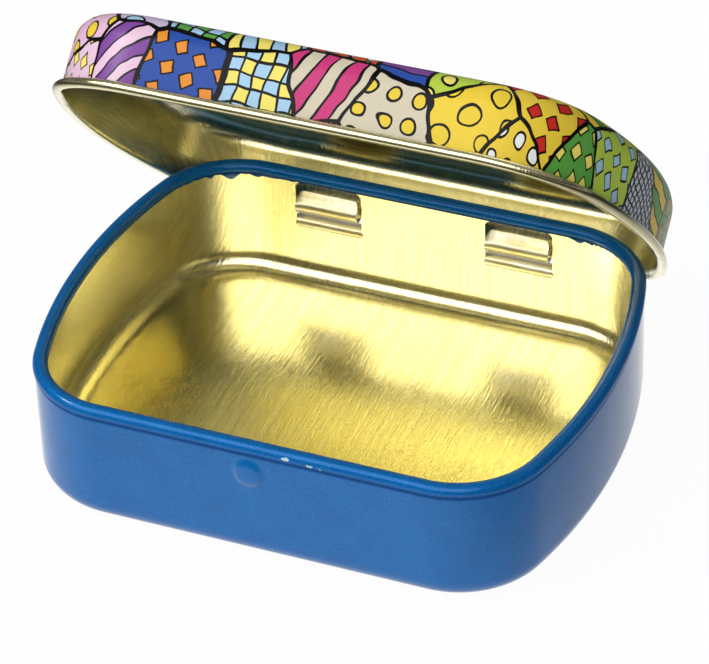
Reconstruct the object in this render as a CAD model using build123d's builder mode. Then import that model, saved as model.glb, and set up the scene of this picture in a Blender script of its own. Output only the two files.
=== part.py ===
from build123d import *
import math
import os

os.makedirs("parts", exist_ok=True)

# A hinged pocket tin for mints: a pressed tray and a pressed lid of thin tinplate.
# The tray stands on z = 0, its plan centred on the Z axis, dimple to -Y and hinges to +Y.
# The lid stands open, turned up about the two hinge bars in the back wall of the tray.

# Tray, measured over its rolled rim
tray_length = 60.0
tray_depth = 47.0
tray_height = 14.8
corner_radius = 10.4
end_bow_radius = 58.0

# Sheet, the bend at the foot of the tray and the rolled rim
sheet = 0.25
foot_radius = 2.6
rim_roll_radius = 0.8
rim_proud = 0.17
rim_edge_angle = -50.0

# Dimple pressed out of the front wall, which holds the lid shut
dimple_off_centre = -0.85
dimple_height = 11.1
dimple_radius = 1.4
dimple_rise = 0.4

# Hinge windows in the back wall, each with a bar across it and a lip rolled outward
hinge_off_centre = 11.03
hinge_height = 10.0
window_width = 8.0
window_below_hinge = 3.0
window_top = 12.6
window_corner = 0.8
lip_radius = 0.75
bar_radius = 0.69
hinge_fit = 0.06

# Lid, measured closed, with its rolled edge a little below the hinge
lid_clearance = 0.35
lid_edge_below_hinge = 1.1
lid_height = 8.7
lid_top_radius = 2.8
lid_roll_radius = 0.54
lid_roll_angle = 265.0
lid_open_angle = 47.4

# Back of the lid, cut away so that it swings clear of the tray
trim_start = 21.6
trim_above_hinge = 0.65

# Tongues of the lid, curled round the bars
tongue_width = 7.4
tongue_curl_angle = 255.0
tongue_corner = 0.5

# All cutting shapes run past what they cut by this much
overrun = 2.0

# Sizes that follow
wall_outside = rim_proud
wall_inside = rim_proud + sheet
lid_wall_inside = -lid_clearance
lid_wall_outside = lid_wall_inside - sheet
lid_low = hinge_height - lid_edge_below_hinge
lid_top = lid_low + lid_height
window_bottom = hinge_height - window_below_hinge
hinge_y = tray_depth / 2 + lid_clearance - bar_radius - hinge_fit
tongue_inner_radius = bar_radius + hinge_fit
tongue_outer_radius = tongue_inner_radius + sheet
trim_height = hinge_height + trim_above_hinge


def draw_plan(inset):
    """Closed plan this far inside the rim: straight long sides, round corners, bowed short ends."""
    half_depth = tray_depth / 2 - inset
    corner = corner_radius - inset
    bow = end_bow_radius - inset
    bow_centre = tray_length / 2 - end_bow_radius
    bow_angle = math.degrees(math.asin((half_depth - corner) / (bow - corner)))
    straight_end = bow_centre + (bow - corner) * math.cos(math.radians(bow_angle))
    corner_angle = 90.0 - bow_angle
    first_half = Line((0, -half_depth), (straight_end, -half_depth))
    front_right = JernArc(first_half @ 1, first_half % 1, corner, corner_angle)
    right_end = JernArc(front_right @ 1, front_right % 1, bow, 2 * bow_angle)
    back_right = JernArc(right_end @ 1, right_end % 1, corner, corner_angle)
    back = Line(back_right @ 1, (-straight_end, half_depth))
    back_left = JernArc(back @ 1, back % 1, corner, corner_angle)
    left_end = JernArc(back_left @ 1, back_left % 1, bow, 2 * bow_angle)
    front_left = JernArc(left_end @ 1, left_end % 1, corner, corner_angle)
    Line(front_left @ 1, first_half @ 0)


def section_plane(frame, x, y):
    """Upright plane across the frame's X axis; its own axes are the frame's Y and Z."""
    origin = frame.from_local_coords(Vector(x, y, 0))
    return Plane(origin=origin, x_dir=frame.y_dir, z_dir=frame.x_dir)


# Frame of the closed lid, turned up about the hinge axis
open_sine = math.sin(math.radians(lid_open_angle))
open_cosine = math.cos(math.radians(lid_open_angle))
lid_frame = Plane(
    origin=(
        0,
        hinge_y - hinge_y * open_cosine - hinge_height * open_sine,
        hinge_height + hinge_y * open_sine - hinge_height * open_cosine,
    ),
    x_dir=(1, 0, 0),
    z_dir=(0, open_sine, open_cosine),
)

# Tray: foot bend, wall and rolled rim as one section carried round the plan
roll_height = tray_height - rim_roll_radius
roll_bore = rim_roll_radius - sheet
outer_meet = 180.0 + math.degrees(math.acos((rim_roll_radius - wall_outside) / rim_roll_radius))
inner_meet = 180.0 + math.degrees(math.acos((rim_roll_radius - wall_inside) / roll_bore))
foot_centre = wall_outside + foot_radius

with BuildPart() as base_tray:
    with BuildLine() as rim_line:
        draw_plan(0)
    with BuildSketch(section_plane(Plane.XY, 0, -tray_depth / 2)):
        with BuildLine():
            roll_centre = (rim_roll_radius, roll_height)
            roll_outside = CenterArc(roll_centre, rim_roll_radius, outer_meet, rim_edge_angle - outer_meet)
            roll_inside = CenterArc(roll_centre, roll_bore, inner_meet, rim_edge_angle - inner_meet)
            Line(roll_outside @ 1, roll_inside @ 1)
            foot_outside = CenterArc((foot_centre, foot_radius), foot_radius, 180, 90)
            foot_inside = CenterArc((foot_centre, foot_radius), foot_radius - sheet, 180, 90)
            Line(foot_outside @ 0, roll_outside @ 0)
            Line(foot_inside @ 0, roll_inside @ 0)
            Line(foot_outside @ 1, foot_inside @ 1)
        make_face()
    sweep(path=rim_line.wires()[0])

    # Flat floor inside the foot bend
    with BuildSketch():
        with BuildLine():
            draw_plan(foot_centre)
        make_face()
    extrude(amount=sheet)

    # Dimple: a shallow dome outside the front wall, hollow behind
    dome_radius = (dimple_radius**2 + dimple_rise**2) / (2 * dimple_rise)
    front_wall = wall_outside - tray_depth / 2
    dome_centre = front_wall + dome_radius - dimple_rise
    with BuildSketch(Plane.XY.offset(dimple_height)):
        with BuildLine():
            dome_half_angle = math.degrees(math.asin(dimple_radius / dome_radius))
            dome = CenterArc((dimple_off_centre, dome_centre), dome_radius, -90, dome_half_angle)
            rise = Line(dome @ 0, (dimple_off_centre, front_wall))
            Line(rise @ 1, dome @ 1)
        make_face()
    revolve(axis=Axis((dimple_off_centre, 0, dimple_height), (0, 1, 0)))
    with Locations((dimple_off_centre, dome_centre, dimple_height)):
        Sphere(dome_radius - sheet, mode=Mode.SUBTRACT)

    # Hinge windows through the back wall
    back_wall = tray_depth / 2 - wall_inside
    window_height = window_top - window_bottom
    window_middle = (window_top + window_bottom) / 2
    window_plane = Plane(origin=(0, back_wall - rim_roll_radius, 0), x_dir=(-1, 0, 0), z_dir=(0, 1, 0))
    with BuildSketch(window_plane):
        with Locations((-hinge_off_centre, window_middle), (hinge_off_centre, window_middle)):
            RectangleRounded(window_width, window_height, window_corner)
    extrude(amount=rim_roll_radius + sheet + overrun, mode=Mode.SUBTRACT)

    for side in (-1, 1):
        # Bar across the window, and the lower edge of the window rolled outward
        window_side = side * hinge_off_centre - window_width / 2
        with BuildSketch(section_plane(Plane.XY, window_side, 0)):
            with Locations((hinge_y, hinge_height)):
                Circle(bar_radius)
        extrude(amount=window_width)
        lip_length = window_width - 2 * window_corner
        with BuildSketch(section_plane(Plane.XY, window_side + window_corner, 0)):
            with Locations((back_wall + lip_radius, window_bottom)):
                Circle(lip_radius)
                Circle(lip_radius - sheet, mode=Mode.SUBTRACT)
                Rectangle(lip_radius, lip_radius, align=(Align.MAX, Align.MIN), mode=Mode.INTERSECT)
        extrude(amount=lip_length)
base_tray.part.label = "base_tray"

# Lid: top bend, wall and outward roll as one section carried round its own plan
lid_edge = tray_depth / 2 - lid_wall_outside
lid_bend_height = lid_top - lid_top_radius
lid_roll_height = lid_low + lid_roll_radius
lid_roll_bore = lid_roll_radius - sheet

with BuildPart() as lid:
    with BuildLine(lid_frame) as lid_line:
        draw_plan(lid_wall_outside)
    with BuildSketch(section_plane(lid_frame, 0, -lid_edge)):
        with BuildLine():
            bend_outside = CenterArc((lid_top_radius, lid_bend_height), lid_top_radius, 90, 90)
            bend_inside = CenterArc((lid_top_radius, lid_bend_height), lid_top_radius - sheet, 90, 90)
            Line(bend_outside @ 0, bend_inside @ 0)
            lid_roll_centre = (sheet - lid_roll_radius, lid_roll_height)
            lid_roll_outside = CenterArc(lid_roll_centre, lid_roll_radius, 0, -lid_roll_angle)
            lid_roll_inside = CenterArc(lid_roll_centre, lid_roll_bore, 0, -lid_roll_angle)
            Line(bend_inside @ 1, lid_roll_outside @ 0)
            Line(bend_outside @ 1, lid_roll_inside @ 0)
            Line(lid_roll_outside @ 1, lid_roll_inside @ 1)
        make_face()
    sweep(path=lid_line.wires()[0])

    # Flat top inside the bend
    with BuildSketch(lid_frame.offset(lid_top - sheet)):
        with BuildLine():
            draw_plan(lid_wall_outside + lid_top_radius)
        make_face()
    extrude(amount=sheet)

    # Back edge cut away above the hinge axis, between the back corners
    trim_depth = lid_edge + overrun - trim_start
    with BuildSketch(lid_frame.offset(lid_low - overrun)):
        with Locations((0, trim_start)):
            Rectangle(tray_length, trim_depth, align=(Align.CENTER, Align.MIN))
    extrude(amount=trim_height - lid_low + overrun, mode=Mode.SUBTRACT)

    for side in (-1, 1):
        # Tongue: straight down from the back wall, under the bar and up inside the tray
        tongue_side = side * hinge_off_centre - tongue_width / 2
        with BuildSketch(section_plane(lid_frame, tongue_side, 0)):
            with BuildLine():
                hinge_centre = (hinge_y, hinge_height)
                curl_outside = CenterArc(hinge_centre, tongue_outer_radius, 0, -tongue_curl_angle)
                curl_inside = CenterArc(hinge_centre, tongue_inner_radius, 0, -tongue_curl_angle)
                root_outside = Line(curl_outside @ 0, (hinge_y + tongue_outer_radius, trim_height))
                root_inside = Line(curl_inside @ 0, (hinge_y + tongue_inner_radius, trim_height))
                Line(root_outside @ 1, root_inside @ 1)
                Line(curl_outside @ 1, curl_inside @ 1)
            make_face()
        extrude(amount=tongue_width)
        # Free end of the tongue with rounded corners
        tip_plane = section_plane(lid_frame, side * hinge_off_centre, 0)
        tip = tip_plane.from_local_coords(curl_inside @ 1)
        short_edges = lid.edges().filter_by(lambda edge: edge.length < 2 * sheet)
        fillet(short_edges.sort_by_distance(tip)[0:2], tongue_corner)
lid.part.label = "lid"

export_step(base_tray.part, "parts/base_tray.step")
export_step(lid.part, "parts/lid.step")
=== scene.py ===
import bmesh
import bpy
import math
import numpy as np
from mathutils import Matrix, Vector


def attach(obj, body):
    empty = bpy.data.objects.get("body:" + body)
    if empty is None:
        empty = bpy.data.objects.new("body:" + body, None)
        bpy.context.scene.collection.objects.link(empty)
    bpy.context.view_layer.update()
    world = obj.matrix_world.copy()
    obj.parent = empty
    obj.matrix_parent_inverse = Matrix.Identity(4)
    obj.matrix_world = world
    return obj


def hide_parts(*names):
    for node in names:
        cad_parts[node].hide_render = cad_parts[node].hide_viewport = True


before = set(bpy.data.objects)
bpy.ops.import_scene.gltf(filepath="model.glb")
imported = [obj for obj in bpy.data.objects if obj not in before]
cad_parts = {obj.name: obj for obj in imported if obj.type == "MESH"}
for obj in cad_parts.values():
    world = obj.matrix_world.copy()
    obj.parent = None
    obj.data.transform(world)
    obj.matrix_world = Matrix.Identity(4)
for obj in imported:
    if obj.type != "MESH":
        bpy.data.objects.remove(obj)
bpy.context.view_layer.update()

# Lengths are in millimetres, as the tin is drawn, and turn into metres where a mesh is made
MM = 0.001

# Tray, measured over its rolled rim
TRAY_LENGTH = 60.0
TRAY_DEPTH = 47.0
TRAY_HEIGHT = 14.8
CORNER_RADIUS = 10.4
END_BOW_RADIUS = 58.0
SHEET = 0.25
FOOT_RADIUS = 2.6
RIM_ROLL_RADIUS = 0.8
RIM_PROUD = 0.17
RIM_EDGE_ANGLE = -50.0
WALL_START = 13.0

# Dimple: place along X and Z, and shares of its radius for the crown and the skirt
DIMPLE_PLACE = (-0.85, 11.1)
DIMPLE_RADIUS = 1.4
DIMPLE_RISE = 0.4
DIMPLE_CROWN = 0.78
DIMPLE_CROWN_FALL = 0.35
DIMPLE_SKIRT = 1.35

# Ragged edge of the rolled rim: waves as length and share, angles in degrees, lengths in millimetres
RAGGED_SEED = 11
RAGGED_WAVES = ((0.55, 0.6), (1.7, 0.6), (5.0, 0.5))
RAGGED_LEAST = 3.0
RAGGED_MOST = 12.0
RAGGED_FLARE = 0.65
RAGGED_KEPT = 0.2
RAGGED_OFFSET = 4.5
RAGGED_REACH = 8.0
FLARE_SHARE = 0.09
FLARE_CURVE = 1.5

# Hinges
HINGE_OFF_CENTRE = 11.03
HINGE_HEIGHT = 10.0
WINDOW_WIDTH = 7.7
WINDOW_BOTTOM = 7.0
WINDOW_TOP = 12.8
WINDOW_CORNER = 0.7
LIP_RADIUS = 0.85
LIP_WIDTH = 7.9
LIP_CENTRE = (23.83, 7.2)
LIP_ANGLES = (180.0, 66.0)
LIP_FOOT = ((0.11, -0.4), (0.05, -0.33), (0.015, -0.22), (0.0, -0.1))
LIP_CORNER = (0.45, 0.5)
BAR_RADIUS = 0.69
BAR_WRAP = 350.0
BAR_TAPER = 1.3
BAR_END = 0.2
TONGUE_INNER_RADIUS = 0.75
TONGUE_WIDTH = 7.2
TONGUE_CURL_ANGLE = 172.0
TONGUE_LEAF = 1.3
TONGUE_CORNER = (0.5, 1.0)

# Crimp of a tongue's leaf, and the fold at its left end
CRIMP_KNOTS = 9
CRIMP_DEPTH = 0.05
CRIMP_SEEDS = {"left": 5, "right": 8}
LEAF_STARTS = 0.55
FOLD_WIDTH = 1.1
FOLD_DEPTH = 0.35

# Lid, measured closed
LID_CLEARANCE = 0.35
LID_LOW = 8.9
LID_HEIGHT = 8.7
LID_TOP_RADIUS = 2.8
LID_ROLL_RADIUS = 0.54
LID_ROLL_ANGLE = 265.0
LID_OPEN_ANGLE = 47.4
TRIM_START = 21.6
TRIM_HEIGHT = 10.65

# Steps of the meshes: lengths along straights, angles along arcs, and counts
STRAIGHT_STEP = 0.8
CORNER_STEP = math.radians(1.0)
BOW_STEP = math.radians(0.6)
DIMPLE_STEPS = 25
WINDOW_STEPS = 41
ROLL_STEPS = 28
WINDOW_ROWS = 28
LOWER_ROWS = 6
FOOT_STEPS = 12
PANEL_STEPS = 14
LID_ROLL_STEPS = 24
LID_WALL_STEP = 0.45
LID_BEND_STEPS = 12
STRIP_COLUMNS = 49
STRIP_STEPS = 36
LEAF_STEPS = 14
LIP_STEPS = 20

# How near mesh lines come to an exact one, as a share of a step, and to a cut edge, in millimetres
MARK_ROOM = 0.35
WINDOW_SNAP = 0.11

# Edges that bend by more than this many degrees stay sharp
SHARP_ANGLE = 30.0

# Name of the attribute that holds each point's place on the unfolded sheet
SHEET_PLACE = "sheet_place"

# Sizes that follow
HINGE_Y = TRAY_DEPTH / 2 + LID_CLEARANCE - TONGUE_INNER_RADIUS
LID_WALL = -LID_CLEARANCE - SHEET
CREASE_RISE = math.sqrt(RIM_ROLL_RADIUS**2 - (RIM_ROLL_RADIUS - RIM_PROUD)**2)
CREASE_HEIGHT = TRAY_HEIGHT - RIM_ROLL_RADIUS - CREASE_RISE


# Plan of the tin

def plan_arcs():
    """Centres and angles of the plan's corner and end arcs, for the right half."""
    half_depth = TRAY_DEPTH / 2
    bow_centre = TRAY_LENGTH / 2 - END_BOW_RADIUS
    bow_angle = math.asin((half_depth - CORNER_RADIUS) / (END_BOW_RADIUS - CORNER_RADIUS))
    corner_x = bow_centre + (END_BOW_RADIUS - CORNER_RADIUS) * math.cos(bow_angle)
    return bow_centre, bow_angle, corner_x, half_depth - CORNER_RADIUS


def with_marks(low, high, step, marks):
    """Evenly spaced values from low to high, with extra exact values, in order."""
    count = max(2, int(round((high - low) / step)) + 1)
    values = np.linspace(low, high, count)
    for mark in marks:
        values = values[np.abs(values - mark) > step * MARK_ROOM]
    return np.array(sorted(set(values) | set(marks)))


def plan_stations():
    """Points round the rim's plan and their inward directions, front middle first, anticlockwise."""
    bow_centre, bow_angle, corner_x, corner_y = plan_arcs()
    points, inward = [], []

    def add_line(xs, y, direction):
        for x in xs:
            points.append((x, y))
            inward.append((0.0, direction))

    def add_arc(centre, radius, start, end, step):
        for angle in with_marks(start, end, step, ())[1:]:
            x, y = math.cos(angle), math.sin(angle)
            points.append((centre[0] + radius * x, centre[1] + radius * y))
            inward.append((-x, -y))

    reach = DIMPLE_RADIUS * DIMPLE_SKIRT
    dimple = DIMPLE_PLACE[0] + np.linspace(-reach, reach, DIMPLE_STEPS)
    front = with_marks(-corner_x, corner_x, STRAIGHT_STEP, tuple(dimple))
    add_line(front, -TRAY_DEPTH / 2, 1.0)
    add_arc((corner_x, -corner_y), CORNER_RADIUS, -math.pi / 2, -bow_angle, CORNER_STEP)
    add_arc((bow_centre, 0.0), END_BOW_RADIUS, -bow_angle, bow_angle, BOW_STEP)
    add_arc((corner_x, corner_y), CORNER_RADIUS, bow_angle, math.pi / 2, CORNER_STEP)
    marks = []
    for side in (-1, 1):
        edge = side * HINGE_OFF_CENTRE
        marks += list(edge + np.linspace(-WINDOW_WIDTH / 2, WINDOW_WIDTH / 2, WINDOW_STEPS))
    back = with_marks(-corner_x, corner_x, STRAIGHT_STEP, tuple(marks))[::-1]
    add_line(back[1:], TRAY_DEPTH / 2, -1.0)
    add_arc((-corner_x, corner_y), CORNER_RADIUS, math.pi / 2, math.pi - bow_angle, CORNER_STEP)
    add_arc((-bow_centre, 0.0), END_BOW_RADIUS, math.pi - bow_angle, math.pi + bow_angle, BOW_STEP)
    add_arc((-corner_x, -corner_y), CORNER_RADIUS, math.pi + bow_angle, 1.5 * math.pi, CORNER_STEP)
    return np.array(points[:-1]), np.array(inward[:-1])


PLAN, INWARD = plan_stations()


# Sheets: two paired grids of points, so that each pressing is one closed skin

def arc_pairs(centre, outer, inner, start, end, steps):
    """Paired profile points on two arcs about one centre, in degrees."""
    pairs = []
    for t in np.linspace(0, 1, steps + 1):
        angle = math.radians(start + (end - start) * t)
        x, y = math.cos(angle), math.sin(angle)
        pairs.append(tuple((centre[0] + radius * x, centre[1] + radius * y) for radius in (outer, inner)))
    return pairs


def carry(pairs):
    """Carries paired profile points (inset, height) round the plan: two grids of points."""
    grids = []
    for which in (0, 1):
        rows = []
        for pair in pairs:
            inset, height = pair[which]
            ring = np.column_stack((PLAN + INWARD * inset, np.full(len(PLAN), height)))
            rows.append(ring)
        grids.append(np.array(rows))
    return grids


def add_panel(grid):
    """Adds rows that shrink the last ring to near the middle, for a floor or a top."""
    rows = [grid]
    for t in np.linspace(0, 1, PANEL_STEPS + 1)[1:-1]:
        ring = grid[-1].copy()
        ring[:, :2] *= 1.0 - t
        rows.append(ring[None])
    return np.concatenate(rows)


def sheet_object(name, outside, inside, present, materials, flat, closed=True, capped=True):
    """A closed skin from two paired grids. Cells that aren't present leave a hole with a cut edge.

    materials are those of the outside, the inside and the cut edges, and flat holds each point's
    place on the unfolded sheet. A closed sheet joins its last column to its first, and a capped one
    has its last ring filled on both sides.
    """
    rows, columns = outside.shape[:2]
    vertices = np.concatenate((outside.reshape(-1, 3), inside.reshape(-1, 3)))
    offset = rows * columns
    faces, slots = [], []
    column_cells = columns if closed else columns - 1

    def at(row, column, side):
        return side * offset + row * columns + column % columns

    def there(row, column):
        if closed:
            column %= columns
        return 0 <= row < rows - 1 and 0 <= column < column_cells and present[row, column]

    for i in range(rows - 1):
        for j in range(column_cells):
            if not present[i, j]:
                continue
            faces.append((at(i, j, 0), at(i + 1, j, 0), at(i + 1, j + 1, 0), at(i, j + 1, 0)))
            slots.append(0)
            faces.append((at(i, j, 1), at(i, j + 1, 1), at(i + 1, j + 1, 1), at(i + 1, j, 1)))
            slots.append(1)
            at_cap = capped and i == rows - 2
            edges = (
                (there(i - 1, j), (i, j), (i, j + 1)),
                (there(i + 1, j) or at_cap, (i + 1, j + 1), (i + 1, j)),
                (there(i, j - 1), (i + 1, j), (i, j)),
                (there(i, j + 1), (i, j + 1), (i + 1, j + 1)),
            )
            for has_neighbour, a, b in edges:
                if not has_neighbour:
                    faces.append((at(*a, 0), at(*b, 0), at(*b, 1), at(*a, 1)))
                    slots.append(2)
    if capped:
        last = rows - 1
        faces.append(tuple(at(last, j, 0) for j in range(columns))[::-1])
        slots.append(0)
        faces.append(tuple(at(last, j, 1) for j in range(columns)))
        slots.append(1)
    mesh = bpy.data.meshes.new(name)
    mesh.from_pydata([tuple(v * MM) for v in vertices], [], faces)
    for material in materials:
        mesh.materials.append(material)
    mesh.polygons.foreach_set("material_index", slots)
    mesh.polygons.foreach_set("use_smooth", [True] * len(faces))
    places = mesh.attributes.new(SHEET_PLACE, "FLOAT_VECTOR", "POINT")
    both_sides = np.tile(flat.reshape(-1, 3), (2, 1))
    places.data.foreach_set("vector", both_sides.ravel())
    piece = bpy.data.objects.new(name, mesh)
    bpy.context.scene.collection.objects.link(piece)
    tidy_skin(piece)
    return piece


def tidy_skin(piece):
    """Turns the faces outward, drops loose points and keeps sharp edges sharp."""
    skin = bmesh.new()
    skin.from_mesh(piece.data)
    loose = [v for v in skin.verts if not v.link_faces]
    bmesh.ops.delete(skin, geom=loose, context="VERTS")
    bmesh.ops.recalc_face_normals(skin, faces=skin.faces)
    for edge in skin.edges:
        if len(edge.link_faces) == 2:
            edge.smooth = edge.calc_face_angle() < math.radians(SHARP_ANGLE)
    skin.to_mesh(piece.data)
    skin.free()


def unfolded(outside, bend_end):
    """Places on the flat sheet: the plan, with the wall folded out round the floor or the top."""
    lengths = np.linalg.norm(np.diff(outside[::-1], axis=0), axis=2)
    run = np.concatenate((np.zeros((1, outside.shape[1])), np.cumsum(lengths, axis=0)))[::-1]
    past_bend = np.maximum(run - run[bend_end], 0)
    ring = outside[bend_end, :, :2]
    flat = ring[None] - INWARD[None] * past_bend[..., None]
    flat[bend_end:] = outside[bend_end:, :, :2]
    return np.concatenate((flat, np.zeros(flat.shape[:2] + (1,))), axis=2)


# Tray

def rim_rows():
    """The rolled rim as two grids, its cut edge ragged where the sheet tore, most at the back."""
    centre = (RIM_ROLL_RADIUS, TRAY_HEIGHT - RIM_ROLL_RADIUS)
    random = np.random.default_rng(RAGGED_SEED)
    places = np.concatenate(([0], np.cumsum(np.linalg.norm(np.diff(PLAN, axis=0), axis=1))))
    ragged = np.zeros(len(PLAN))
    for length, share in RAGGED_WAVES:
        knots = np.arange(0, places[-1] + 2 * length, length)
        values = random.uniform(-1, 1, len(knots))
        values[-2:] = values[0]
        ragged += share * np.interp(places, knots, values)
    corner_x, corner_y = plan_arcs()[2:]
    at_back = np.clip((PLAN[:, 1] - corner_y) / CORNER_RADIUS, 0, 1)
    at_corner = np.exp(-((np.abs(PLAN[:, 0]) - corner_x - RAGGED_OFFSET) / RAGGED_REACH)**2)
    torn = at_back * at_corner
    ends = RIM_EDGE_ANGLE + ragged * (RAGGED_LEAST + RAGGED_MOST * torn)
    flare = RAGGED_FLARE * torn * np.maximum(np.abs(ragged) - RAGGED_KEPT, 0)
    sides = ((RIM_ROLL_RADIUS, RIM_PROUD), (RIM_ROLL_RADIUS - SHEET, RIM_PROUD + SHEET))
    grids = []
    for radius, proud in sides:
        meet = 180 + math.degrees(math.acos((RIM_ROLL_RADIUS - proud) / radius))
        rows = []
        for t in np.linspace(0, 1, ROLL_STEPS + 1):
            angle = np.radians(ends + (meet - ends) * t)
            flared = radius + flare * max(0.0, 1 - t / FLARE_SHARE)**FLARE_CURVE
            inset = centre[0] + flared * np.cos(angle)
            height = centre[1] + flared * np.sin(angle)
            rows.append(np.column_stack((PLAN + INWARD * inset[:, None], height)))
        grids.append(np.array(rows))
    return grids


def wall_profile():
    """Paired (inset, height) points from under the rolled rim to the floor."""
    outside, inside = RIM_PROUD, RIM_PROUD + SHEET
    pairs = [((outside, WALL_START), (inside, WALL_START))]
    for height in np.linspace(WINDOW_TOP, WINDOW_BOTTOM, WINDOW_ROWS + 1):
        pairs.append(((outside, height), (inside, height)))
    for height in np.linspace(WINDOW_BOTTOM, FOOT_RADIUS, LOWER_ROWS + 1)[1:]:
        pairs.append(((outside, height), (inside, height)))
    foot = (RIM_PROUD + FOOT_RADIUS, FOOT_RADIUS)
    pairs += arc_pairs(foot, FOOT_RADIUS, FOOT_RADIUS - SHEET, 180, 270, FOOT_STEPS)[1:]
    return pairs


def press_dimple(grid):
    """Presses a low dome out of the front wall."""
    x, y, z = grid[..., 0], grid[..., 1], grid[..., 2]
    away = np.hypot(x - DIMPLE_PLACE[0], z - DIMPLE_PLACE[1])
    front = y < -TRAY_DEPTH / 2 + RIM_ROLL_RADIUS
    flank = np.clip((away / DIMPLE_RADIUS - DIMPLE_CROWN) / (DIMPLE_SKIRT - DIMPLE_CROWN), 0, 1)
    dome = 1 - flank**2 * (3 - 2 * flank)
    crown = 1 - (away / DIMPLE_RADIUS)**2 * DIMPLE_CROWN_FALL
    grid[..., 1] = np.where(front, y - DIMPLE_RISE * dome * np.maximum(crown, 0), y)


def window_outline_distance(x, z):
    """Signed distance from the nearer window's rounded outline: negative inside."""
    dx = np.abs(np.abs(x) - HINGE_OFF_CENTRE) - (WINDOW_WIDTH / 2 - WINDOW_CORNER)
    middle = (WINDOW_TOP + WINDOW_BOTTOM) / 2
    dz = np.abs(z - middle) - ((WINDOW_TOP - WINDOW_BOTTOM) / 2 - WINDOW_CORNER)
    outside = np.hypot(np.maximum(dx, 0), np.maximum(dz, 0))
    return outside + np.minimum(np.maximum(dx, dz), 0) - WINDOW_CORNER


def in_back_wall(grid):
    """Whether each point is in the back wall."""
    return grid[..., 1] > TRAY_DEPTH / 2 - 2 * RIM_ROLL_RADIUS


def cut_windows(grid, present):
    """Takes the window cells out of the back wall."""
    near = window_outline_distance(grid[..., 0], grid[..., 2]) < WINDOW_SNAP
    inside = in_back_wall(grid) & near
    corners = inside & np.roll(inside, -1, axis=1)
    present &= ~(corners[:-1] & corners[1:])


def round_corners(grid):
    """Moves points near the windows' rounded corners onto them."""
    x, z = grid[..., 0], grid[..., 2]
    side = np.sign(x)
    half = WINDOW_WIDTH / 2 - WINDOW_CORNER
    middle = (WINDOW_TOP + WINDOW_BOTTOM) / 2
    tall = (WINDOW_TOP - WINDOW_BOTTOM) / 2 - WINDOW_CORNER
    local_x, local_z = x - side * HINGE_OFF_CENTRE, z - middle
    past_x = np.abs(local_x) - half
    past_z = np.abs(local_z) - tall
    reach = np.hypot(past_x, past_z)
    at_corner = (past_x > 0) & (past_z > 0)
    near = in_back_wall(grid) & at_corner & (np.abs(reach - WINDOW_CORNER) < WINDOW_SNAP)
    scale = np.where(near, WINDOW_CORNER / np.maximum(reach, SHEET), 1.0)
    new_x = side * HINGE_OFF_CENTRE + np.sign(local_x) * (half + past_x * scale)
    new_z = middle + np.sign(local_z) * (tall + past_z * scale)
    grid[..., 0] = np.where(near, new_x, x)
    grid[..., 2] = np.where(near, new_z, z)


def make_tray(blue, gold, edge):
    pairs = wall_profile()
    grids = [np.concatenate(rows) for rows in zip(rim_rows(), carry(pairs))]
    bend_end = len(grids[0]) - 1
    outside, inside = [add_panel(grid) for grid in grids]
    flat = unfolded(outside, bend_end)
    press_dimple(outside)
    press_dimple(inside)
    present = np.ones((outside.shape[0] - 1, outside.shape[1]), bool)
    cut_windows(outside, present)
    round_corners(outside)
    round_corners(inside)
    tray = sheet_object("tray_pressing", outside, inside, present, (blue, gold, edge), flat)
    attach(tray, "tray")
    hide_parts("base_tray")


# Lid

def turned_up(points):
    """Places drawn for the closed lid, turned up about the hinge to the photographed angle."""
    angle = math.radians(LID_OPEN_ANGLE)
    y, z = points[..., 1] - HINGE_Y, points[..., 2] - HINGE_HEIGHT
    turned = points.copy()
    turned[..., 1] = HINGE_Y + y * math.cos(angle) + z * math.sin(angle)
    turned[..., 2] = HINGE_HEIGHT - y * math.sin(angle) + z * math.cos(angle)
    return turned


def lid_profile():
    """Paired (inset, height) points from the rolled edge to the top."""
    wall = LID_WALL
    centre = (wall + SHEET - LID_ROLL_RADIUS, LID_LOW + LID_ROLL_RADIUS)
    bore = LID_ROLL_RADIUS - SHEET
    pairs = arc_pairs(centre, bore, LID_ROLL_RADIUS, -LID_ROLL_ANGLE, 0, LID_ROLL_STEPS)
    bend = LID_LOW + LID_HEIGHT - LID_TOP_RADIUS
    for height in with_marks(LID_LOW + LID_ROLL_RADIUS, bend, LID_WALL_STEP, (TRIM_HEIGHT,))[1:]:
        pairs.append(((wall, height), (wall + SHEET, height)))
    top_centre = (wall + LID_TOP_RADIUS, bend)
    inner = LID_TOP_RADIUS - SHEET
    pairs += arc_pairs(top_centre, LID_TOP_RADIUS, inner, 180, 90, LID_BEND_STEPS)[1:]
    return pairs


def make_lid(print_finish, gold, edge):
    pairs = lid_profile()
    outside, inside = [add_panel(grid) for grid in carry(pairs)]
    heights, depths = outside[..., 2], outside[..., 1]
    low = (heights[:-1] < TRIM_HEIGHT - WINDOW_SNAP) & (depths[:-1] > TRIM_START)
    present = ~(low & np.roll(low, -1, axis=1))
    flat = unfolded(outside, len(pairs) - 1)
    lid = sheet_object("lid_pressing", turned_up(outside), turned_up(inside), present,
                       (print_finish, gold, edge), flat)
    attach(lid, "lid")
    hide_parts("lid")


# Hinge pieces

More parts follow.
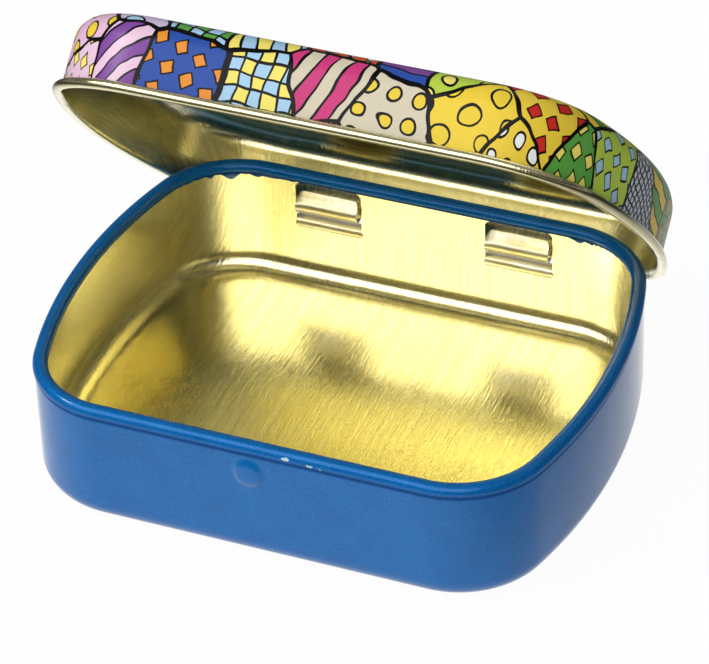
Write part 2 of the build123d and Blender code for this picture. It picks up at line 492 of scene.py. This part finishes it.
def strip(name, pairs, centre_x, half_widths, materials, bends=()):
    """A strip of sheet along a paired (y, z) profile, as wide at each row as half_widths says.

    bends are functions that each move a grid of points, in turn.
    """
    grids = []
    for which in (0, 1):
        rows = []
        for pair, half in zip(pairs, half_widths):
            xs = centre_x + np.linspace(-1, 1, STRIP_COLUMNS) * half
            rows.append([(x, pair[which][0], pair[which][1]) for x in xs])
        grids.append(np.array(rows, float))
    flat = np.zeros_like(grids[0])
    flat[..., 0] = grids[0][..., 0]
    flat[..., 1] = profile_run(pairs)[:, None]
    for bend in bends:
        grids = [bend(grid) for grid in grids]
    present = np.ones((len(pairs) - 1, STRIP_COLUMNS), bool)
    return sheet_object(name, *grids, present, materials, flat, closed=False, capped=False)


def profile_run(pairs):
    """Length along the middle of a paired profile, up to each of its points."""
    middle = np.array([((a[0] + b[0]) / 2, (a[1] + b[1]) / 2) for a, b in pairs])
    return np.concatenate(([0], np.cumsum(np.linalg.norm(np.diff(middle, axis=0), axis=1))))


def rounded_end(left, half_width, corner):
    """Half widths of a strip that ends in elliptical corners; left is the length left to its end."""
    share = np.clip(1 - left / corner[1], 0, 1)
    return half_width - corner[0] * (1 - np.sqrt(1 - share**2))


def tongue_pairs():
    """The tongue's profile on the closed lid: down, round under the bar and up to its tip."""
    centre = (HINGE_Y, HINGE_HEIGHT)
    inner, outer = TONGUE_INNER_RADIUS, TONGUE_INNER_RADIUS + SHEET
    pairs = [((centre[0] + outer, TRIM_HEIGHT), (centre[0] + inner, TRIM_HEIGHT))]
    pairs += arc_pairs(centre, outer, inner, 0, -TONGUE_CURL_ANGLE, STRIP_STEPS)
    angle = math.radians(-TONGUE_CURL_ANGLE)
    along = (math.sin(angle), -math.cos(angle))
    last = pairs[-1]
    for t in np.linspace(0, TONGUE_LEAF, LEAF_STEPS + 1)[1:]:
        pairs.append(tuple((point[0] + along[0] * t, point[1] + along[1] * t) for point in last))
    return pairs


def crimp(centre_x, seed):
    """Bends a tongue's leaf a little, as hand-closed tongues are, and folds its left end back."""
    random = np.random.default_rng(seed)
    knots = np.linspace(-TONGUE_WIDTH / 2, TONGUE_WIDTH / 2, CRIMP_KNOTS)
    offsets = random.uniform(-1, 1, CRIMP_KNOTS) * CRIMP_DEPTH

    def bend(grid):
        rows = np.linspace(0, 1, len(grid))[:, None]
        leaf = np.clip((rows - LEAF_STARTS) / (1 - LEAF_STARTS), 0, 1)
        x = grid[..., 0] - centre_x
        wave = np.interp(x, knots, offsets)
        fold = np.clip((-x - TONGUE_WIDTH / 2 + FOLD_WIDTH) / FOLD_WIDTH, 0, 1)**2 * FOLD_DEPTH
        bent = grid.copy()
        bent[..., 1] += leaf * (wave + fold)
        bent[..., 2] += leaf * wave
        return bent

    return bend


def tapered(centre_x, half):
    """Draws a bar's ends in to the thickness of the wall that they run into."""

    def bend(grid):
        left = np.clip((half - np.abs(grid[..., 0] - centre_x)) / BAR_TAPER, 0, 1)
        scale = BAR_END + (1 - BAR_END) * np.sqrt(1 - (1 - left)**2)
        bent = grid.copy()
        for axis, middle in ((1, HINGE_Y), (2, HINGE_HEIGHT)):
            bent[..., axis] = middle + (grid[..., axis] - middle) * scale
        return bent

    return bend


# The hinge pieces take the worn gold, painted pale as a highlight
def make_hinges(blue, worn_brightened_gold, edge):
    centre = (HINGE_Y, HINGE_HEIGHT)
    curl = tongue_pairs()
    run = profile_run(curl)
    tongue_half = rounded_end(run[-1] - run, TONGUE_WIDTH / 2, TONGUE_CORNER)
    lip_curl = arc_pairs(LIP_CENTRE, LIP_RADIUS, LIP_RADIUS - SHEET, *LIP_ANGLES, LIP_STEPS)
    foot = [tuple((y + back, z + up) for y, z in lip_curl[0]) for back, up in LIP_FOOT]
    lip_curl = foot + lip_curl
    lip_half = rounded_end(profile_run(lip_curl), LIP_WIDTH / 2, LIP_CORNER)
    bar_curl = arc_pairs(centre, BAR_RADIUS, BAR_RADIUS - SHEET, 0, -BAR_WRAP, STRIP_STEPS)
    bar_half = [WINDOW_WIDTH / 2] * len(bar_curl)

    for side, word in ((-1, "left"), (1, "right")):
        x = side * HINGE_OFF_CENTRE
        tongue = strip("hinge_tongue_" + word, curl, x, tongue_half, (worn_brightened_gold, edge, edge),
                       (crimp(x, CRIMP_SEEDS[word]), turned_up))
        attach(tongue, "lid")
        lip = strip("window_lip_" + word, lip_curl, x, lip_half, (worn_brightened_gold, blue, edge))
        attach(lip, "tray")
        bar = strip("hinge_bar_" + word, bar_curl, x, bar_half, (worn_brightened_gold, edge, edge),
                    (tapered(x, bar_half[0]),))
        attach(bar, "tray")


# Materials

class Nodes:
    """Short calls for building a material's or world's node tree."""

    def __init__(self, tree):
        self.tree = tree

    def add(self, kind, inputs=None, **settings):
        node = self.tree.nodes.new(kind)
        for name, value in settings.items():
            setattr(node, name, value)
        for name, value in (inputs or {}).items():
            self.feed(node.inputs[name], value)
        return node

    def feed(self, socket, value):
        if isinstance(value, bpy.types.NodeSocket):
            self.tree.links.new(value, socket)
        else:
            socket.default_value = value

    def math(self, operation, *values, clamp=False):
        node = self.add("ShaderNodeMath", operation=operation, use_clamp=clamp)
        for socket, value in zip(node.inputs, values):
            self.feed(socket, value)
        return node.outputs[0]

    def vector(self, operation, *values):
        node = self.add("ShaderNodeVectorMath", operation=operation)
        for socket, value in zip(node.inputs, values):
            self.feed(socket, value)
        is_number = operation in ("LENGTH", "DOT_PRODUCT")
        return node.outputs["Value" if is_number else "Vector"]

    def noise(self, place, scale, detail, roughness=0.5):
        inputs = {"Vector": place, "Scale": scale, "Detail": detail, "Roughness": roughness}
        return self.add("ShaderNodeTexNoise", inputs).outputs["Fac"]

    def stretched(self, place, factors, detail, roughness=0.5):
        """Noise drawn out along the axes by these factors."""
        return self.noise(self.scaled(place, factors), 1.0, detail, roughness)

    def span(self, value, low, high, to_low=0.0, to_high=1.0):
        """The value carried from one range to another, and held to its ends."""
        node = self.add("ShaderNodeMapRange", {"Value": value})
        for name, limit in (("From Min", low), ("From Max", high), ("To Min", to_low), ("To Max", to_high)):
            self.feed(node.inputs[name], limit)
        return node.outputs["Result"]

    def mix(self, factor, a, b):
        node = self.add("ShaderNodeMix", data_type="RGBA")
        self.feed(node.inputs["Factor"], factor)
        self.feed(node.inputs["A"], a)
        self.feed(node.inputs["B"], b)
        return node.outputs["Result"]

    def steps(self, value, colours):
        """One of the colours, all for equal shares of the value from 0 to 1."""
        node = self.add("ShaderNodeValToRGB", {"Fac": value})
        ramp = node.color_ramp
        ramp.interpolation = "CONSTANT"
        while len(ramp.elements) < len(colours):
            ramp.elements.new(1.0)
        for index, colour in enumerate(colours):
            ramp.elements[index].position = index / len(colours)
            ramp.elements[index].color = colour
        return node.outputs["Color"]

    def sheet_place(self):
        """This point's place on the unfolded sheet, in millimetres."""
        return self.add("ShaderNodeAttribute", attribute_name=SHEET_PLACE).outputs["Vector"]

    def object_place(self):
        """This point's place on the object, in millimetres."""
        place = self.add("ShaderNodeTexCoord").outputs["Object"]
        return self.scaled(place, (1 / MM, 1 / MM, 1 / MM))

    def scaled(self, place, factors):
        return self.vector("MULTIPLY", place, factors)

    def bump(self, height, distance, strength, under=None):
        """A bumped normal; the distance is in metres."""
        inputs = {"Height": height, "Distance": distance, "Strength": strength}
        if under is not None:
            inputs["Normal"] = under
        return self.add("ShaderNodeBump", inputs).outputs["Normal"]


def new_material(name):
    material = bpy.data.materials.new(name)
    material.use_nodes = True
    return material, Nodes(material.node_tree), material.node_tree.nodes["Principled BSDF"].inputs


def srgb(red, green, blue):
    """A colour given by its 8-bit display values, as linear light."""
    def linear(value):
        value /= 255
        return value / 12.92 if value <= 0.04045 else ((value + 0.055) / 1.055)**2.4
    return (linear(red), linear(green), linear(blue), 1.0)


# The range that most of a noise's values lie in
NOISE = (0.3, 0.7)

# Blue lacquer on the outside of the tray and over its rolled rim
BLUE = srgb(4, 103, 176)
BLUE_DEEP = srgb(2, 97, 168)
BLUE_CLOUD = (0.22, 3.0)
BLUE_CLOUD_SPAN = (0.35, 0.65)
BLUE_METAL = 0.3
BLUE_ROUGHNESS = (0.4, 0.5)
BLUE_COAT = 1.0
BLUE_COAT_ROUGHNESS = 0.1
BLUE_COAT_IOR = 1.42
BLUE_BUMP = (0.00003, 0.4)

# Flecks in the blue: noise scale, detail and roughness, and how the noise turns into colour
BLUE_FLECK = srgb(40, 148, 214)
FLECKS = (7.0, 3.0, 0.75)
FLECK_SPAN = (0.52, 0.72, 0.0, 0.7)

# Bead of the rolled rim, and painted shade along the crease under it: a darker blue with less metal and
# coat
BEAD_COAT = 0.6
BEAD_HEIGHTS = (13.6, 13.9)
CREASE_SHADE_COLOUR = srgb(2, 72, 138)
CREASE_SHADE_REACH = 0.42
CREASE_SHADE_CORE = 0.4
CREASE_SHADE_COAT = 0.3

# Chips on the front rim: places along X and Z, and reach
CHIP_COLOUR = srgb(186, 216, 220)
CHIPS = ((3.3, 14.15, 0.75), (5.9, 13.95, 0.66), (6.9, 13.8, 0.5), (-14.8, 14.2, 0.3))
CHIP_FLATTENED = 2.2
CHIP_TEAR = 0.2
CHIP_TORN = (4.0, 3.0, 0.7)
CHIP_DEPTH = 1.5


def blue_lacquer():
    material, nodes, shader = new_material("blue_lacquer")
    place = nodes.object_place()
    cloud = nodes.noise(place, *BLUE_CLOUD)
    fleck = nodes.noise(place, *FLECKS)
    height = nodes.add("ShaderNodeSeparateXYZ", {"Vector": place}).outputs[2]
    off_crease = nodes.math("ABSOLUTE", nodes.math("SUBTRACT", height, CREASE_HEIGHT))
    # Painted shade: a dark line along the crease under the bead
    crease_shade = nodes.span(off_crease, CREASE_SHADE_REACH * CREASE_SHADE_CORE, CREASE_SHADE_REACH, 1.0, 0.0)
    tint = nodes.mix(nodes.span(cloud, *BLUE_CLOUD_SPAN), BLUE, BLUE_DEEP)
    tint = nodes.mix(nodes.span(fleck, *FLECK_SPAN), tint, BLUE_FLECK)
    chipped = None
    torn = nodes.noise(place, *CHIP_TORN)
    for x, z, reach in CHIPS:
        away = nodes.vector("SUBTRACT", place, (x, -TRAY_DEPTH / 2 + RIM_PROUD, z))
        away = nodes.vector("LENGTH", nodes.scaled(away, (1.0, 1.0, CHIP_FLATTENED)))
        chip = nodes.math("LESS_THAN", nodes.math("ADD", away, torn), reach + CHIP_TEAR)
        chipped = chip if chipped is None else nodes.math("MAXIMUM", chipped, chip)
    # The crease is painted darker blue as shade
    tint = nodes.mix(crease_shade, tint, CREASE_SHADE_COLOUR)
    nodes.feed(shader["Base Color"], nodes.mix(chipped, tint, CHIP_COLOUR))
    # No metal where the lacquer is chipped, nor in the painted crease shade
    chipped_or_shaded = nodes.math("ADD", chipped, crease_shade)
    nodes.feed(shader["Metallic"], nodes.math("SUBTRACT", BLUE_METAL, chipped_or_shaded, clamp=True))
    nodes.feed(shader["Roughness"], nodes.span(fleck, *NOISE, *BLUE_ROUGHNESS))
    shader["Specular IOR Level"].default_value = 0.0
    coat = nodes.span(height, *BEAD_HEIGHTS, BLUE_COAT, BEAD_COAT)
    # Less coat in the painted crease shade
    coat = nodes.math("MULTIPLY", coat, nodes.span(crease_shade, 0.0, 1.0, 1.0, CREASE_SHADE_COAT))
    nodes.feed(shader["Coat Weight"], coat)
    shader["Coat Roughness"].default_value = BLUE_COAT_ROUGHNESS
    shader["Coat IOR"].default_value = BLUE_COAT_IOR
    dented = nodes.math("SUBTRACT", fleck, nodes.math("MULTIPLY", chipped, CHIP_DEPTH))
    nodes.feed(shader["Normal"], nodes.bump(dented, *BLUE_BUMP))
    return material


# Gold lacquer on brushed tinplate inside both pressings
GOLD = srgb(250, 243, 198)
GOLD_DEEP = srgb(242, 230, 164)
# Gold of the hinge pieces: rougher and more stained from wear, and painted paler than the inside gold as a
# painted highlight
WORN_GOLD_PAINTED_PALE = srgb(252, 249, 232)
WORN_GOLD_DEEP = srgb(226, 206, 124)
GOLD_ROUGHNESS = (0.15, 0.25)
WORN_ROUGHNESS = (0.3, 0.45)
GOLD_COAT = 0.8
GOLD_COAT_ROUGHNESS = 0.12
STAIN_SPAN = (0.35, 0.7)

# Noises on the unfolded sheet: factors along its axes, detail and roughness
BRUSH = ((5.0, 0.6, 1.0), 2.0, 0.6)
STREAKS = ((1.6, 0.03, 1.0), 4.0, 0.6)
WAVES = ((0.12, 0.10, 1.0), 1.0)
WORN_STAINS = ((0.12, 0.9, 1.0), 4.0, 0.6)

# Bumps: distance in metres and strength
BRUSH_BUMP = (0.00003, 1.0)
STREAK_BUMP = (0.00006, 0.6)
WAVE_BUMP = (0.0008, 0.12)


def gold_lacquer(name, pale, deep, roughness, stains):
    material, nodes, shader = new_material(name)
    sheet_place = nodes.sheet_place()
    brushed = nodes.stretched(sheet_place, *BRUSH)
    streaks = nodes.stretched(sheet_place, *STREAKS)
    waves = nodes.stretched(sheet_place, *WAVES)
    stained = nodes.stretched(sheet_place, *stains)
    tint = nodes.mix(nodes.span(stained, *STAIN_SPAN), pale, deep)
    nodes.feed(shader["Base Color"], tint)
    shader["Metallic"].default_value = 1.0
    nodes.feed(shader["Roughness"], nodes.span(brushed, *NOISE, *roughness))
    shader["Coat Weight"].default_value = GOLD_COAT
    shader["Coat Roughness"].default_value = GOLD_COAT_ROUGHNESS
    wavy = nodes.bump(waves, *WAVE_BUMP)
    streaked = nodes.bump(streaks, *STREAK_BUMP, wavy)
    nodes.feed(shader["Normal"], nodes.bump(brushed, *BRUSH_BUMP, streaked))
    return material


# Cut edges of the sheet
EDGE_PALE = srgb(215, 212, 200)
EDGE_DARK = srgb(150, 148, 138)
EDGE_NOISE = (6.0, 2.0)
EDGE_ROUGHNESS = (0.25, 0.5)


def bare_edge():
    material, nodes, shader = new_material("cut_edge")
    rough = nodes.noise(nodes.object_place(), *EDGE_NOISE)
    nodes.feed(shader["Base Color"], nodes.mix(nodes.span(rough, *NOISE), EDGE_PALE, EDGE_DARK))
    nodes.feed(shader["Roughness"], nodes.span(rough, *NOISE, *EDGE_ROUGHNESS))
    shader["Metallic"].default_value = 1.0
    return material


# Print on the lid: a patchwork of outlined cells, each with one plain motif
PATCH_SIZE = 7.6
PATCH_RANDOMNESS = 0.75
PATCH_OUTLINE = 0.23
MOTIF_OUTLINE = 0.13
WOBBLE = {"Scale": 0.3, "Detail": 1.0}
WOBBLE_REACH = (1.2, 1.2, 0.0)
LID_SPAN = 34.0
GROUND_SHIFT = 0.09
MOTIF_STRIDE = 7.3
PRINT_GRAIN = (5.0, 2.0)
PRINT_ROUGHNESS = (0.26, 0.36)
PRINT_SPECULAR = 0.18
PRINT_BUMP = (0.00001, 0.3)
INK = srgb(2, 2, 3)

# Motifs: how many fit across a patch, and for separate spots their reach
STRIPES = 5.0
RINGS = 6.0
MESH_LINES = 9.0
SMALL_SPOTS = (2.8, 0.27)
LARGE_SPOTS = (2.2, 0.3)
DIAMONDS = (3.0, 0.36)

# Inks of the patches from left to right, and of the motifs
GROUND_INKS = (
    srgb(176, 184, 190), srgb(160, 168, 176), srgb(228, 186, 214), srgb(230, 196, 218),
    srgb(44, 80, 166), srgb(206, 190, 220), srgb(44, 80, 166), srgb(168, 206, 234),
    srgb(238, 242, 248), srgb(160, 200, 232), srgb(214, 204, 180), srgb(204, 54, 40),
    srgb(212, 92, 40), srgb(44, 80, 166), srgb(212, 92, 40), srgb(186, 212, 76),
    srgb(240, 208, 64), srgb(186, 212, 76), srgb(92, 164, 70), srgb(200, 208, 220),
)
MOTIF_INKS = (
    srgb(240, 240, 236), srgb(236, 206, 60), srgb(204, 44, 38), srgb(168, 206, 234),
    srgb(232, 146, 50), srgb(128, 72, 156), srgb(206, 60, 124), srgb(52, 92, 176),
    srgb(244, 228, 110), srgb(92, 164, 70),
)


def print_ink():
    material, nodes, shader = new_material("printed_lid")
    sheet_place = nodes.sheet_place()
    wobble = nodes.add("ShaderNodeTexNoise", {"Vector": sheet_place, **WOBBLE}).outputs["Color"]
    wobbled = nodes.vector("ADD", sheet_place, nodes.scaled(wobble, WOBBLE_REACH))
    patch = nodes.scaled(wobbled, (1 / PATCH_SIZE, 1 / PATCH_SIZE, 0.0))
    inputs = {"Vector": patch, "Scale": 1.0, "Randomness": PATCH_RANDOMNESS}
    cell = nodes.add("ShaderNodeTexVoronoi", inputs, voronoi_dimensions="2D")
    border = nodes.add("ShaderNodeTexVoronoi", inputs, voronoi_dimensions="2D",
                       feature="DISTANCE_TO_EDGE").outputs["Distance"]
    random = nodes.add("ShaderNodeSeparateXYZ", {"Vector": cell.outputs["Color"]}).outputs
    local = nodes.vector("SUBTRACT", patch, cell.outputs["Position"])
    inputs = {"Vector": local, "Angle": nodes.math("MULTIPLY", random[2], math.tau)}
    turned = nodes.add("ShaderNodeVectorRotate", inputs, rotation_type="Z_AXIS").outputs[0]
    u, v = nodes.add("ShaderNodeSeparateXYZ", {"Vector": turned}).outputs[:2]
    x = nodes.add("ShaderNodeSeparateXYZ", {"Vector": cell.outputs["Position"]}).outputs[0]

    def bands(value, per_patch):
        """Distance to the nearest band edge, in patches, and whether this is an odd band."""
        scaled = nodes.math("MULTIPLY", value, per_patch)
        near = nodes.math("PINGPONG", scaled, 0.5)
        pair = nodes.math("FRACT", nodes.math("MULTIPLY", scaled, 0.5))
        return nodes.math("DIVIDE", near, per_patch), nodes.math("GREATER_THAN", pair, 0.5)

    def spots(per_patch, reach, measure):
        """Separate spots on a square lattice: distance to their edges, and whether inside one."""
        offsets = []
        for value in (u, v):
            share = nodes.math("FRACT", nodes.math("MULTIPLY", value, per_patch))
            offsets.append(nodes.math("ABSOLUTE", nodes.math("SUBTRACT", share, 0.5)))
        away = measure(*offsets)
        edge = nodes.math("ABSOLUTE", nodes.math("SUBTRACT", away, reach))
        return nodes.math("DIVIDE", edge, per_patch), nodes.math("LESS_THAN", away, reach)

    def round_measure(a, b):
        squares = [nodes.math("POWER", value, 2.0) for value in (a, b)]
        return nodes.math("SQRT", nodes.math("ADD", *squares))

    def diamond_measure(a, b):
        return nodes.math("ADD", a, b)

    away = nodes.vector("LENGTH", local)
    stripe_edge, stripe = bands(u, STRIPES)
    cross_edge, cross = bands(v, STRIPES)
    check = nodes.math("ABSOLUTE", nodes.math("SUBTRACT", stripe, cross))
    check_edge = nodes.math("MINIMUM", stripe_edge, cross_edge)
    mesh_edge = nodes.math("MINIMUM", bands(u, MESH_LINES)[0], bands(v, MESH_LINES)[0])
    motifs = (
        spots(*SMALL_SPOTS, round_measure),
        bands(away, RINGS),
        spots(*DIAMONDS, diamond_measure),
        (stripe_edge, stripe),
        (check_edge, check),
        spots(*LARGE_SPOTS, round_measure),
        (mesh_edge, 0.0),
    )
    edge, odd = motifs[0]
    for index, (next_edge, next_odd) in enumerate(motifs[1:]):
        past = nodes.math("GREATER_THAN", random[0], (index + 1) / len(motifs))
        edge = nodes.add("ShaderNodeMix", {"Factor": past, "A": edge, "B": next_edge}).outputs["Result"]
        odd = nodes.add("ShaderNodeMix", {"Factor": past, "A": odd, "B": next_odd}).outputs["Result"]

    along = nodes.span(x, -LID_SPAN / PATCH_SIZE, LID_SPAN / PATCH_SIZE)
    shift = nodes.span(random[1], 0.0, 1.0, -GROUND_SHIFT, GROUND_SHIFT)
    ground = nodes.steps(nodes.math("ADD", along, shift), GROUND_INKS)
    pick = nodes.math("FRACT", nodes.math("MULTIPLY", random[1], MOTIF_STRIDE))
    motif = nodes.steps(pick, MOTIF_INKS)
    colour = nodes.mix(odd, ground, motif)
    thin = nodes.math("LESS_THAN", edge, MOTIF_OUTLINE / PATCH_SIZE)
    thick = nodes.math("LESS_THAN", border, PATCH_OUTLINE / PATCH_SIZE)
    colour = nodes.mix(nodes.math("MAXIMUM", thin, thick), colour, INK)
    nodes.feed(shader["Base Color"], colour)
    grain = nodes.noise(sheet_place, *PRINT_GRAIN)
    nodes.feed(shader["Roughness"], nodes.span(grain, *NOISE, *PRINT_ROUGHNESS))
    shader["Specular IOR Level"].default_value = PRINT_SPECULAR
    nodes.feed(shader["Normal"], nodes.bump(grain, *PRINT_BUMP))
    return material


# Camera at the photograph's angle, from the pinhole fitted to a picture 709 pixels wide

PHOTO_WIDTH = 709.0
FOCAL_PIXELS = 3883.3
SENSOR = 36.0
AZIMUTH = math.radians(23.035)
ELEVATION = math.radians(37.068)
ROLL = math.radians(-2.153)
DISTANCE = 406.54
AIM_RIGHT = 1.013
AIM_UP = 5.055
AIM_HEIGHT = 6.0
CLIP_START = 0.01
CLIP_END = 20.0


def direction_to(azimuth, elevation):
    """The direction of a place seen from the tin. Azimuth is 0 at the front and grows toward +X."""
    level = math.cos(elevation)
    return Vector((math.sin(azimuth) * level, -math.cos(azimuth) * level, math.sin(elevation)))


def make_camera():
    back = direction_to(AZIMUTH, ELEVATION)
    level = Vector((math.cos(AZIMUTH), math.sin(AZIMUTH), 0.0))
    above = back.cross(level)
    right = level * math.cos(ROLL) + above * math.sin(ROLL)
    up = -level * math.sin(ROLL) + above * math.cos(ROLL)
    place = Vector((0.0, 0.0, AIM_HEIGHT)) + right * AIM_RIGHT + up * AIM_UP + back * DISTANCE
    data = bpy.data.cameras.new("camera")
    data.sensor_width = SENSOR
    data.lens = FOCAL_PIXELS * SENSOR / PHOTO_WIDTH
    data.clip_start = CLIP_START
    data.clip_end = CLIP_END
    camera = bpy.data.objects.new("camera", data)
    turn = Matrix((right, up, back)).transposed().to_4x4()
    camera.matrix_world = Matrix.Translation(place * MM) @ turn
    bpy.context.scene.collection.objects.link(camera)
    bpy.context.scene.camera = camera


# Floor: reach, near and far in metres, level in millimetres. Reflections see it fade outward and right

WHITE = (1.0, 1.0, 1.0, 1.0)
FLOOR_COLOUR = (0.9, 0.9, 0.9, 1.0)
FLOOR_ROUGHNESS = 0.9
FLOOR_REACH = 3.0
FLOOR_LEVEL = -0.02
FLOOR_UNDER = 0.8
FLOOR_GLOW = 0.96
FLOOR_NEAR = 0.045
FLOOR_FAR = 0.11
FAR_GLOW = 0.05
FLOOR_RIGHT = (0.025, 0.04)
RIGHT_DIM = 0.5

# World: a dim room that grows lighter upward, with a pale backdrop low down in reflections
ROOM_LOW = 0.06
ROOM_HIGH = 0.25
ROOM_RISE = (0.3, 0.62)
ROOM_DIM = 0.3
ROOM_TURN = (0.77, -0.64, 0.0)
ROOM_SIDES = (-0.1, 0.6)
BACKDROP_TOP = 0.08
BACKDROP_SHARE = 0.35

# Lamps: name, azimuth and elevation in degrees, distance and size in metres, and radiance
LAMPS = (
    ("key", -14.0, 45.0, 1.0, (1.7, 0.8), 2.2),
    ("side", -66.0, 40.0, 1.0, (0.25, 0.16), 18.0),
    ("back", 180.0, 45.0, 1.0, (0.5, 0.4), 1.2),
)


def rays_of(nodes, *kinds):
    """1 for rays of these kinds, else 0."""
    path = nodes.add("ShaderNodeLightPath").outputs
    total = path[kinds[0]]
    for kind in kinds[1:]:
        total = nodes.math("ADD", total, path[kind], clamp=True)
    return total


def make_floor():
    mesh = bpy.data.meshes.new("floor")
    signs = ((-1, -1), (1, -1), (1, 1), (-1, 1))
    corners = [(x * FLOOR_REACH, y * FLOOR_REACH, 0) for x, y in signs]
    mesh.from_pydata(corners, [], [(0, 1, 2, 3)])
    floor = bpy.data.objects.new("floor", mesh)
    floor.location.z = FLOOR_LEVEL * MM
    bpy.context.scene.collection.objects.link(floor)
    material, nodes, shader = new_material("floor")
    shader["Base Color"].default_value = FLOOR_COLOUR
    shader["Roughness"].default_value = FLOOR_ROUGHNESS
    seen = rays_of(nodes, "Is Camera Ray")
    mirrored = rays_of(nodes, "Is Glossy Ray", "Is Transmission Ray")
    spot = nodes.add("ShaderNodeTexCoord").outputs["Object"]
    away = nodes.vector("LENGTH", spot)
    right = nodes.vector("DOT_PRODUCT", spot, (1.0, 0.0, 0.0))
    outward = nodes.span(away, FLOOR_NEAR, FLOOR_FAR, 1.0, FAR_GLOW)
    lit = nodes.math("MULTIPLY", outward, nodes.span(right, *FLOOR_RIGHT, 1.0, RIGHT_DIM))
    lit = nodes.math("MAXIMUM", lit, seen)
    glow = nodes.add("ShaderNodeEmission", {"Color": WHITE, "Strength": lit})
    share = nodes.math("MAXIMUM", mirrored, nodes.math("MULTIPLY", seen, FLOOR_GLOW))
    blend = nodes.add("ShaderNodeMixShader", {"Fac": share})
    nodes.feed(blend.inputs[1], material.node_tree.nodes["Principled BSDF"].outputs[0])
    nodes.feed(blend.inputs[2], glow.outputs[0])
    under = nodes.add("ShaderNodeNewGeometry").outputs["Backfacing"]
    clear = nodes.add("ShaderNodeMixShader", {"Fac": under})
    nodes.feed(clear.inputs[1], blend.outputs[0])
    nodes.feed(clear.inputs[2], nodes.add("ShaderNodeBsdfTransparent").outputs[0])
    nodes.feed(material.node_tree.nodes["Material Output"].inputs["Surface"], clear.outputs[0])
    mesh.materials.append(material)


def make_world():
    world = bpy.data.worlds.new("studio")
    bpy.context.scene.world = world
    world.use_nodes = True
    nodes = Nodes(world.node_tree)
    direction = nodes.add("ShaderNodeTexCoord").outputs["Generated"]
    height = nodes.add("ShaderNodeSeparateXYZ", {"Vector": direction}).outputs[2]
    turned = nodes.vector("DOT_PRODUCT", direction, ROOM_TURN)
    low = nodes.span(turned, *ROOM_SIDES, ROOM_LOW, ROOM_LOW * ROOM_DIM)
    room = nodes.span(height, *ROOM_RISE, low, ROOM_HIGH)
    mirrored = rays_of(nodes, "Is Glossy Ray", "Is Transmission Ray")
    backdrop = nodes.math("MULTIPLY", nodes.math("LESS_THAN", height, BACKDROP_TOP), mirrored)
    backdrop = nodes.math("MULTIPLY", backdrop, BACKDROP_SHARE)
    shown = nodes.math("MAXIMUM", backdrop, rays_of(nodes, "Is Camera Ray"))
    under = nodes.math("MULTIPLY", nodes.math("LESS_THAN", height, 0.0), FLOOR_UNDER)
    level = nodes.math("MAXIMUM", nodes.math("MAXIMUM", room, under), shown)
    background = world.node_tree.nodes["Background"].inputs
    background["Color"].default_value = WHITE
    nodes.feed(background["Strength"], level)


def make_lamp(name, azimuth, elevation, distance, size, radiance):
    """A soft box aimed at the tin."""
    data = bpy.data.lights.new(name, "AREA")
    data.shape = "RECTANGLE"
    data.size, data.size_y = size
    data.energy = radiance * math.pi * size[0] * size[1]
    lamp = bpy.data.objects.new(name, data)
    away = direction_to(math.radians(azimuth), math.radians(elevation))
    lamp.location = away * distance
    lamp.rotation_mode = "QUATERNION"
    lamp.rotation_quaternion = (-away).to_track_quat("-Z", "Y")
    bpy.context.scene.collection.objects.link(lamp)


make_camera()
blue = blue_lacquer()
gold = gold_lacquer("gold_lacquer", GOLD, GOLD_DEEP, GOLD_ROUGHNESS, STREAKS)
# A paler copy of the gold, painted bright as a highlight for the hinge pieces, with rougher, stained wear
worn_brightened_gold = gold_lacquer("worn_brightened_gold_lacquer", WORN_GOLD_PAINTED_PALE, WORN_GOLD_DEEP, WORN_ROUGHNESS, WORN_STAINS)
edge = bare_edge()
make_tray(blue, gold, edge)
make_lid(print_ink(), gold, edge)
make_hinges(blue, worn_brightened_gold, edge)
make_floor()
make_world()
for lamp in LAMPS:
    make_lamp(*lamp)
bpy.context.scene.view_settings.view_transform = "Standard"
